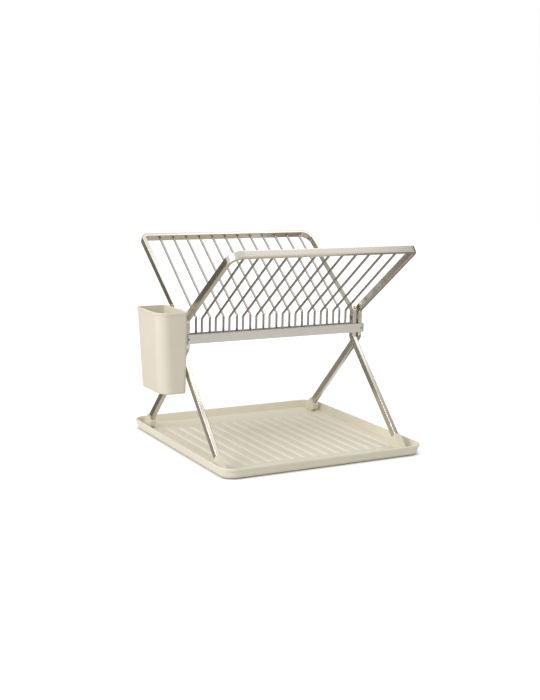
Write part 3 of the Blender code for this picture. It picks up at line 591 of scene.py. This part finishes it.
def makeFoot(side, endName, x, matrix):
    corners = stripCorners(x)
    legEnd = corners[0]
    upLeg = (corners[1] - corners[0]).normalized()
    outward = Vector((0.0, upLeg.z, -upLeg.y))
    half = strip["width"] / 2 + foot["wall"]
    top = legEnd + upLeg * foot["sleeve"]
    baseZ = pivot.z + foot["base"]
    toeStart = legEnd + outward * half
    toeZ = baseZ + foot["toeRise"]
    toeY = toeStart.y + (toeStart.z - toeZ) * math.tan(strip["legAngle"])
    sideView = [top + outward * half, top - outward * (strip["width"] / 2 + foot["heelWall"]),
                Vector((x, legEnd.y - foot["heel"], baseZ)), Vector((x, toeY, baseZ)),
                Vector((x, toeY, toeZ))]
    radii = [foot["cornerRound"], foot["backRound"], foot["heelRound"], foot["cornerRound"],
             foot["toeRound"]]
    middle = (sideView[-1] + sideView[0]) / 2   # the outline starts and ends in the middle of a side
    path = roundedPath([middle, *sideView, middle], radii, foot["roundSteps"])
    bm = bmesh.new()
    addSlab(bm, [point for point, direction in path[:-1]], -foot["thick"] / 2, foot["thick"] / 2)
    bevelMesh(bm, foot["edge"], foot["edgeSteps"], angle=60)
    finishPiece(f"{side}Foot{endName.title()}", bm, footPlastic, f"{side}_rack",
                [f"{side}_frame_foot_{endName}"], matrix, sharpAngle=50)


print("feet")
for side, matrix in racks.items():
    makeFoot(side, "outer", strip["outerX"], matrix)
    makeFoot(side, "inner", strip["innerX"], matrix)


pin = {   # both strips of a side turn on it, with a washer between them
    "radius": 0.003, "headRadius": 0.005, "headThick": 0.0012, "gap": 0.0003, "headSteps": 6, "sides": 40,
    "washerRadius": 0.0065, "washerThick": 0.0039, "washerEdge": 0.0004, "washerSides": 48,
}


def makePivot(endName, sign):
    axis = Vector((sign, 0, 0))
    innerFace = -strip["innerX"] - strip["thick"] / 2 - pin["gap"]
    outerFace = strip["outerX"] + strip["thick"] / 2 + pin["gap"]
    head = roundHead(pin["headRadius"], pin["headThick"], pin["headSteps"])
    profile = [(innerFace - along, radius) for along, radius in reversed(head)]
    profile += [(innerFace, pin["radius"]), (outerFace, pin["radius"])]
    profile += [(outerFace + along, radius) for along, radius in head]
    bm = bmesh.new()
    addTurned(bm, pivot, axis, profile, pin["sides"])
    finishPiece(f"{endName}PivotPin", bm, pivotMetal, "pivots",
                [f"{endName}_pivot_pin"], sharpAngle=50)
    start = -strip["innerX"] + strip["thick"] / 2 + pin["gap"]
    end = start + pin["washerThick"]
    edge = pin["washerEdge"]
    rim = pin["washerRadius"]
    washer = bmesh.new()
    profile = [(start, rim - edge), (start + edge, rim), (end - edge, rim), (end, rim - edge)]
    addTurned(washer, pivot, axis, profile, pin["washerSides"])
    finishPiece(f"{endName}PivotWasher", washer, pivotMetal, "pivots",
                [f"{endName}_pivot_washer"])


print("pivots")
makePivot("right", 1)
makePivot("left", -1)


tray = {   # the ledge is the step under the lip
    "length": 0.3746, "depth": 0.37706, "height": 0.017, "corner": 0.024, "cornerSteps": 14,
    "draft": 0.0018, "wall": 0.0018, "floor": 0.003, "cove": 0.0008, "round": 0.005, "arcSteps": 6,
    "lip": 0.0012, "lipHeight": 0.004, "lipRound": 0.0008,
    "ledgeSlack": 0.0001, "ledgeShare": 0.85, "ledgeRise": 0.0003, "shiftX": 0.0022, "shiftY": -0.006,
}
rib = {   # sink and skirt: how far it reaches into the tray's floor
    "count": 16, "pitch": 0.0214, "length": 0.260, "width": 0.0125, "crown": 0.006, "height": 0.0018,
    "fillet": 0.0010, "filletSteps": 4, "footSpread": 0.2, "slopeSteps": 6, "runSteps": 8,
    "sink": 0.0001, "skirt": 0.001,
}


def rectRing(halfX, halfY, radii, z, centreX, centreY, steps):
    return [Vector((centreX + x, centreY + y, z)) for x, y in roundedOutline(halfX, halfY, radii, steps)]


def rimProfile(shell, top, floorZ, wallFoot):
    # the second half of a shell's profile: over the lip, down inside and through the cove to the floor
    crown, cove, steps = shell["lipRound"], shell["cove"], shell["arcSteps"]
    points = quarterRound((shell["lip"] - crown, top - crown), crown, outwards, upwards, steps)
    points += quarterRound((-shell["wall"] + crown, top - crown), crown, upwards, inwards, steps)
    points += quarterRound((wallFoot - cove, floorZ + cove), cove, outwards, downwards, steps)
    return points


def makeTrayShell():
    t = tray
    halfX = t["length"] / 2 - t["lip"]
    halfY = t["depth"] / 2 - t["lip"]
    lipZ = t["height"] - t["lipHeight"]
    profile = quarterRound((-t["draft"] - t["round"], t["round"]), t["round"], downwards, outwards,
                           t["arcSteps"])
    profile += [(-t["ledgeSlack"], lipZ - t["ledgeSlack"]), (t["lip"] * t["ledgeShare"], lipZ),
                (t["lip"], lipZ + t["ledgeRise"])]
    profile += rimProfile(t, t["height"], t["floor"], -t["wall"] - t["draft"])
    bm = bmesh.new()
    addLoft(bm, [rectRing(halfX + out, halfY + out, [t["corner"] + out] * 4, z,
                          t["shiftX"], t["shiftY"], t["cornerSteps"]) for out, z in profile])
    finishPiece("trayShell", bm, trayPlastic, "tray", ["drip_tray"], sharpAngle=35)


def ribProfile():
    # half of a rib's section: flat crown, steep flank, small fillets at crown and foot
    half, crown, rise, fillet = rib["width"] / 2, rib["crown"] / 2, rib["height"], rib["fillet"]
    shares = [step / rib["filletSteps"] for step in range(rib["filletSteps"] + 1)]
    points = [(0.0, rise)]
    points += [(crown - fillet + 2 * fillet * share, rise - fillet * share * share) for share in shares]
    points += [(half + fillet * rib["footSpread"] - 2 * fillet * share, fillet * share * share)
               for share in reversed(shares)]
    return points


def ribMesh():
    # one rib: its section runs along Y, both ends slope down to the floor, and a skirt reaches into it
    half = ribProfile()
    section = [(-x, z) for x, z in reversed(half[1:])] + half
    halfLength = rib["length"] / 2
    slope = rib["width"] - rib["crown"]
    slopeSteps, runSteps, sink = rib["slopeSteps"], rib["runSteps"], rib["sink"]
    stations = []   # places along Y, with the share of the height that is left there
    for step in range(slopeSteps + 1):
        share = step / slopeSteps
        stations.append((-halfLength + slope * share, math.sin(math.pi / 2 * share)))
    stations += [(-halfLength + slope + (2 * halfLength - 2 * slope) * step / runSteps, 1.0)
                 for step in range(1, runSteps)]
    stations += [(-y, fade) for y, fade in reversed(stations[:slopeSteps + 1])]
    bm = bmesh.new()
    grid = [[bm.verts.new((x, tray["shiftY"] + y, tray["floor"] - sink + (z + sink) * fade))
             for x, z in section] for y, fade in stations]
    across, along = len(section) - 1, len(stations) - 1
    for j in range(along):
        for i in range(across):
            bm.faces.new((grid[j][i], grid[j][i + 1], grid[j + 1][i + 1], grid[j + 1][i]))
    rim = [grid[0][i] for i in range(across + 1)] + [grid[j][across] for j in range(1, along + 1)]
    rim += [grid[along][i] for i in range(across - 1, -1, -1)]
    rim += [grid[j][0] for j in range(along - 1, 0, -1)]
    low = [bm.verts.new(vert.co - Vector((0, 0, rib["skirt"]))) for vert in rim]
    for k in range(len(rim)):
        n = (k + 1) % len(rim)
        bm.faces.new((rim[n], rim[k], low[k], low[n]))
    bm.faces.new(low)
    return meshFrom("rib", bm)


print("drip tray")
makeTrayShell()
ribInputs = rowInputs(rib["count"], rib["pitch"], tray["shiftX"], trayPlastic)
ribs = bakeNodes("ribSource", ribMesh(), ribTree(ribInputs), ribInputs)
dressMesh("trayRibs", ribs, trayPlastic, "tray", [], sharpAngle=60)


holder = {   # tapers: how far each side leans in at the foot; the near corner is the wide one
    "width": 0.0525, "length": 0.090, "height": 0.134, "topRise": 0.0335, "innerX": -0.1809,
    "shiftY": -0.0025, "corner": 0.006, "nearCorner": 0.020, "cornerSteps": 14,
    "backTaper": 0.0004, "frontTaper": 0.0085, "endTaper": 0.003,
    "wall": 0.0022, "floor": 0.0025, "cove": 0.002, "footRound": 0.003, "footSteps": 8, "arcSteps": 6,
    "lip": 0.0011, "lipHeight": 0.0045, "lipRound": 0.0008,
    "ledgeOut": 0.0003, "ledgeShare": 0.9, "ledgeRise": 0.0004,
    "drainCount": 5, "drainPitch": 0.013, "drainWidth": 0.0035, "drainLength": 0.024,
    "drainCorner": 0.0013, "drainSteps": 5, "drainPast": 0.002,
}


def holderRing(out, rise):
    h = holder
    share = (h["topRise"] - rise) / h["height"]   # 0 at the top, 1 at the foot
    halfX = h["width"] / 2 - (h["backTaper"] + h["frontTaper"]) / 2 * share + out
    middleX = h["innerX"] - h["width"] / 2 + (h["frontTaper"] - h["backTaper"]) / 2 * share
    halfY = h["length"] / 2 - h["endTaper"] * share + out
    radii = [radius + out for radius in (h["corner"], h["corner"], h["nearCorner"], h["corner"])]
    return rectRing(halfX, halfY, radii, pivot.z + rise, middleX, h["shiftY"], h["cornerSteps"])


def makeHolder():
    h = holder
    top = h["topRise"]
    base = top - h["height"]
    lipRise = top - h["lipHeight"]
    footRound, ledge = h["footRound"], h["ledgeRise"]
    profile = quarterRound((-footRound, base + footRound), footRound, downwards, outwards, h["footSteps"])
    profile += [(0.0, lipRise - ledge), (h["ledgeOut"], lipRise),
                (h["lip"] * h["ledgeShare"], lipRise + ledge)]
    profile += rimProfile(h, top, base + h["floor"], -h["wall"])
    shell = bmesh.new()
    addLoft(shell, [holderRing(out, rise) for out, rise in profile])
    drains = bmesh.new()
    middleX = h["innerX"] - h["width"] / 2 + (h["frontTaper"] - h["backTaper"]) / 2
    outline = roundedOutline(h["drainLength"] / 2, h["drainWidth"] / 2, [h["drainCorner"]] * 4,
                             h["drainSteps"])
    for i in range(h["drainCount"]):
        middleY = (i - (h["drainCount"] - 1) / 2) * h["drainPitch"] + h["shiftY"]
        addPrism(drains, [(middleX + x, middleY + y) for x, y in outline],
                 pivot.z + base - h["drainPast"], h["floor"] + 2 * h["drainPast"])
    dressMesh("cutleryHolder", cutMesh("holder", shell, drains), holderPlastic, "holder",
              ["cutlery_holder"], sharpAngle=35)


hook = {   # the strap lies over the strip, the cheek hangs inside it
    "thick": 0.0024, "cheek": 0.0024, "reach": 0.015, "skirt": 0.001, "cheekDepth": 0.009, "cheekShare": 0.6,
    "wallSink": 0.0016, "gap": 0.0003, "edge": 0.0007, "edgeSteps": 3, "bendSteps": 12,
}


def hookBand(low, high):
    # outline of a band that follows the strip's upper kink, between two distances from its middle
    start = strip["kinkRise"] - strip["kinkRadius"] * math.tan(strip["wingAngle"] / 2) - hook["skirt"]
    corners = [Vector((0.0, 0.0, start)), Vector((0.0, 0.0, strip["kinkRise"])),
               Vector((0.0, hook["reach"] * math.sin(strip["wingAngle"]),
                       strip["kinkRise"] + hook["reach"] * math.cos(strip["wingAngle"])))]
    path = roundedPath(corners, [strip["kinkRadius"]], hook["bendSteps"])
    normals = [Vector((0.0, -tangent.z, tangent.y)) for point, tangent in path]
    lower = [point + normal * low for (point, tangent), normal in zip(path, normals)]
    upper = [point + normal * high for (point, tangent), normal in zip(path, normals)]
    return [pivot + point for point in lower + list(reversed(upper))]


def makeHook():
    low = strip["width"] / 2 + hook["gap"]
    cheekX = -strip["outerX"] + strip["thick"] / 2 + hook["gap"]
    wallX = holder["innerX"] - hook["wallSink"]
    strap = hookBand(low, low + hook["thick"])
    cheek = hookBand(low - hook["cheekDepth"], low + hook["thick"] * hook["cheekShare"])
    for name, band, fromX in (("holderHookStrap", strap, wallX), ("holderHookCheek", cheek, cheekX)):
        bm = bmesh.new()
        addSlab(bm, band, fromX, cheekX + hook["cheek"])
        bevelMesh(bm, hook["edge"], hook["edgeSteps"], angle=35)
        finishPiece(name, bm, holderPlastic, "holder", [])


print("cutlery holder")
makeHolder()
makeHook()


studio = {   # glow and reach: the floor's own light near the middle and far off; contact: where it ends, a band round the tray that shows painted contact shadow besides the real shadow
    "floorSize": 8.0, "floorDrop": 0.0006, "floorColour": (0.66, 0.655, 0.65), "matt": 0.9,
    "nearGlow": 0.50, "farGlow": 0.70, "nearReach": 0.40, "farReach": 1.1,
    "contactIn": -0.0085, "contactOut": 0.003,
    "worldLight": 0.68, "cardRise": 0.001, "lampTarget": (0.0, 0.0, 0.15),
}
shades = {
    "dark": (0.045, 0.038, 0.028), "deep": (0.080, 0.068, 0.052), "leg": (0.13, 0.12, 0.09),
    "mid": (0.24, 0.215, 0.175), "soft": (0.36, 0.33, 0.28), "pale": (0.50, 0.48, 0.45),
}
floorCards = {   # as a photographer's grey cards, for the sides and undersides of the strips to mirror
    "frontLeftLegCard": ("soft", [(-0.70, -0.10), (-0.20, -0.10), (-0.20, 0.06), (-0.25, 0.20), (-0.30, 0.31),
                                  (-0.355, 0.42), (-0.43, 0.60), (-0.50, 0.74), (-0.70, 0.74)]),
    "rearLeftLegCard": ("leg", [(-0.25, 0.20), (-0.12, 0.20), (-0.16, 0.32), (-0.22, 0.45), (-0.30, 0.60),
                                (-0.43, 0.60), (-0.355, 0.42), (-0.30, 0.31)]),
    "frontRightLegCard": ("mid", [(-0.12, 0.20), (-0.02, 0.20), (-0.04, 0.32), (-0.13, 0.47), (-0.27, 0.74),
                                  (-0.36, 0.74), (-0.30, 0.60), (-0.22, 0.45), (-0.16, 0.32)]),
    "rearRightLegCard": ("soft", [(-0.02, 0.20), (1.30, 0.20), (1.30, 0.74), (-0.27, 0.74), (-0.13, 0.47),
                                  (-0.04, 0.32)]),
    "rightFloorCard": ("soft", [(0.25, -0.35), (1.80, -0.35), (1.80, 0.19), (0.25, 0.19)]),
    "frontFloorCard": ("pale", [(-1.90, -2.60), (2.60, -2.60), (2.60, -0.90), (-1.90, -0.90)]),
}
standingCards = {
    "leftBackCard": ("deep", [(-1.6, 0.75, 0.0), (-0.375, 0.75, 0.0), (-0.375, 0.75, 0.45),
                              (-1.6, 0.75, 0.45)]),
    "rearCard": ("mid", [(-0.36, 0.75, 0.0), (1.3, 0.75, 0.0), (1.3, 0.75, 0.5), (-0.27, 0.75, 0.5),
                         (-0.27, 0.75, 0.09), (-0.36, 0.75, 0.09)]),
    "rightCard": ("dark", [(1.9, -1.6, 0.0), (1.9, 1.3, 0.0), (1.9, 1.3, 1.3), (1.9, -1.6, 1.3)]),
    "topRightCard": ("pale", [(1.25, -1.3, 1.7), (2.2, -1.3, 1.7), (2.2, -0.45, 1.7), (1.25, -0.45, 1.7)]),
    "frontCard": ("pale", [(-1.9, -2.6, 0.0), (2.6, -2.6, 0.0), (2.6, -2.6, 1.0), (-1.9, -2.6, 1.0)]),
}
lamps = {
    "keyLight": {"place": (-1.8, -0.4, 1.0), "power": 18.5, "size": 1.1},
    "topLight": {"place": (0.70, -0.09, 1.72), "power": 4.5, "size": 1.05, "depth": 1.0},
    "leftTopLight": {"place": (-0.72, 0.31, 1.6), "power": 1.5, "size": 0.6},
    "frontLight": {"place": (1.1, -1.7, 0.5), "power": 1.0, "size": 1.2},
}
view = {
    "place": (-0.95538, -1.72893, 0.52165), "forward": (0.47390, 0.86173, -0.18122),
    "up": (0.06814, 0.16930, 0.98321), "focalPixels": 1168.86, "height": 700, "sensor": 36.0, "clipEnd": 50.0,
}


def showsTo(tree):
    # 1 where the camera sees it, straight, mirrored or through glass, else 0
    path = addNode(tree, "ShaderNodeLightPath")
    value = path.outputs["Is Camera Ray"]
    for other in ("Is Glossy Ray", "Is Transmission Ray"):
        either = addNode(tree, "ShaderNodeMath", operation="MAXIMUM")
        tree.links.new(value, either.inputs[0])
        tree.links.new(path.outputs[other], either.inputs[1])
        value = either.outputs[0]
    return value


def addSheet(name, corners, material):
    bm = bmesh.new()
    bm.faces.new([bm.verts.new(corner) for corner in corners])
    mesh = bpy.data.meshes.new(name)
    bm.to_mesh(mesh)
    bm.free()
    mesh.materials.append(material)
    sheet = addObject(name, mesh)
    return sheet


def pastTray(tree, place):
    # how far a spot lies outside the rectangle that joins the centres of the tray's round corners
    value = place
    reach = (tray["length"] / 2 - tray["corner"], tray["depth"] / 2 - tray["corner"], 1.0)
    for operation, other in (("SUBTRACT", (tray["shiftX"], tray["shiftY"], 0.0)), ("ABSOLUTE", None),
                             ("SUBTRACT", reach), ("MAXIMUM", (0.0, 0.0, 0.0))):
        step = addNode(tree, "ShaderNodeVectorMath", operation=operation)
        tree.links.new(value, step.inputs[0])
        if other:
            step.inputs[1].default_value = other
        value = step.outputs["Vector"]
    beyond = addNode(tree, "ShaderNodeVectorMath", operation="LENGTH")
    tree.links.new(value, beyond.inputs[0])
    return beyond.outputs["Value"]


def makeFloor():
    # white sweep, lit by a glow of its own that stops at the tray, so that the real shadow shows there,
    # darkened further by a painted contact shadow where the glow is missing
    material, tree, shader = newMaterial("studioFloor")
    shader.inputs["Base Color"].default_value = (*studio["floorColour"], 1.0)
    shader.inputs["Roughness"].default_value = studio["matt"]
    shader.inputs["Specular IOR Level"].default_value = 0.0
    place = addNode(tree, "ShaderNodeTexCoord").outputs["Object"]
    distance = addNode(tree, "ShaderNodeVectorMath", operation="LENGTH")
    tree.links.new(place, distance.inputs[0])
    glow = spread(tree, distance.outputs["Value"], studio["nearGlow"], studio["farGlow"],
                  studio["nearReach"], studio["farReach"])
    # painted contact shadow: the glow fades out across a band round the tray's outline, so the floor there is
    # darker than its real shading alone
    clear = spread(tree, pastTray(tree, place), 0.0, 1.0,
                   tray["corner"] + studio["contactIn"], tray["corner"] + studio["contactOut"])
    strength = showsTo(tree)
    for other in (glow, clear):
        product = addNode(tree, "ShaderNodeMath", operation="MULTIPLY")
        tree.links.new(strength, product.inputs[0])
        tree.links.new(other, product.inputs[1])
        strength = product.outputs[0]
    shader.inputs["Emission Color"].default_value = (1.0, 1.0, 1.0, 1.0)
    tree.links.new(strength, shader.inputs["Emission Strength"])
    half = studio["floorSize"] / 2
    corners = [(-half, -half), (half, -half), (half, half), (-half, half)]
    addSheet("floor", [(x, y, -studio["floorDrop"]) for x, y in corners], material)


def makeCard(name, shade, corners):
    # a grey card beside the set that only the metal mirrors
    material, tree, shader = newMaterial(name)
    shader.inputs["Base Color"].default_value = (*shades[shade], 1.0)
    shader.inputs["Roughness"].default_value = studio["matt"]
    card = addSheet(name, corners, material)
    card.visible_camera = False
    card.visible_diffuse = False
    card.visible_shadow = False


def makeWorld():
    # soft grey light on the object, white where it shows
    world = bpy.data.worlds.new("studioWorld")
    bpy.context.scene.world = world
    world.use_nodes = True
    tree = world.node_tree
    background = tree.nodes["Background"]
    strength = spread(tree, showsTo(tree), studio["worldLight"], 1.0, 0.0, 1.0)
    tree.links.new(strength, background.inputs["Strength"])
    background.inputs["Color"].default_value = (1.0, 1.0, 1.0, 1.0)


def addLamp(name, place, power, size, depth=None):
    # a round lamp, or an oval one when it has a depth
    light = bpy.data.lights.new(name, "AREA")
    light.shape = "ELLIPSE" if depth else "DISK"
    light.size = size
    if depth:
        light.size_y = depth
    light.energy = power
    lamp = addObject(name, light)
    lamp.location = place
    aim = Vector(studio["lampTarget"]) - Vector(place)
    lamp.rotation_euler = aim.to_track_quat("-Z", "Y").to_euler()


def makeCamera():
    # stands where the photograph was taken; the focal length is given in rows of the picture
    data = bpy.data.cameras.new("productView")
    data.sensor_fit = "VERTICAL"
    data.sensor_height = view["sensor"]
    data.lens = view["focalPixels"] * view["sensor"] / view["height"]
    data.clip_end = view["clipEnd"]
    camera = addObject("productView", data)
    forward = Vector(view["forward"]).normalized()
    right = forward.cross(Vector(view["up"])).normalized()
    turn = Matrix((right, right.cross(forward), -forward)).transposed()
    camera.matrix_world = Matrix.Translation(Vector(view["place"])) @ turn.to_4x4()
    bpy.context.scene.camera = camera


print("studio")
makeFloor()
makeWorld()
for name, (shade, spots) in floorCards.items():
    makeCard(name, shade, [(x, y, studio["cardRise"]) for x, y in spots])
for name, (shade, corners) in standingCards.items():
    makeCard(name, shade, corners)
for name, lamp in lamps.items():
    addLamp(name, **lamp)
makeCamera()
bpy.context.scene.view_settings.view_transform = "Standard"

bpy.context.view_layer.update()
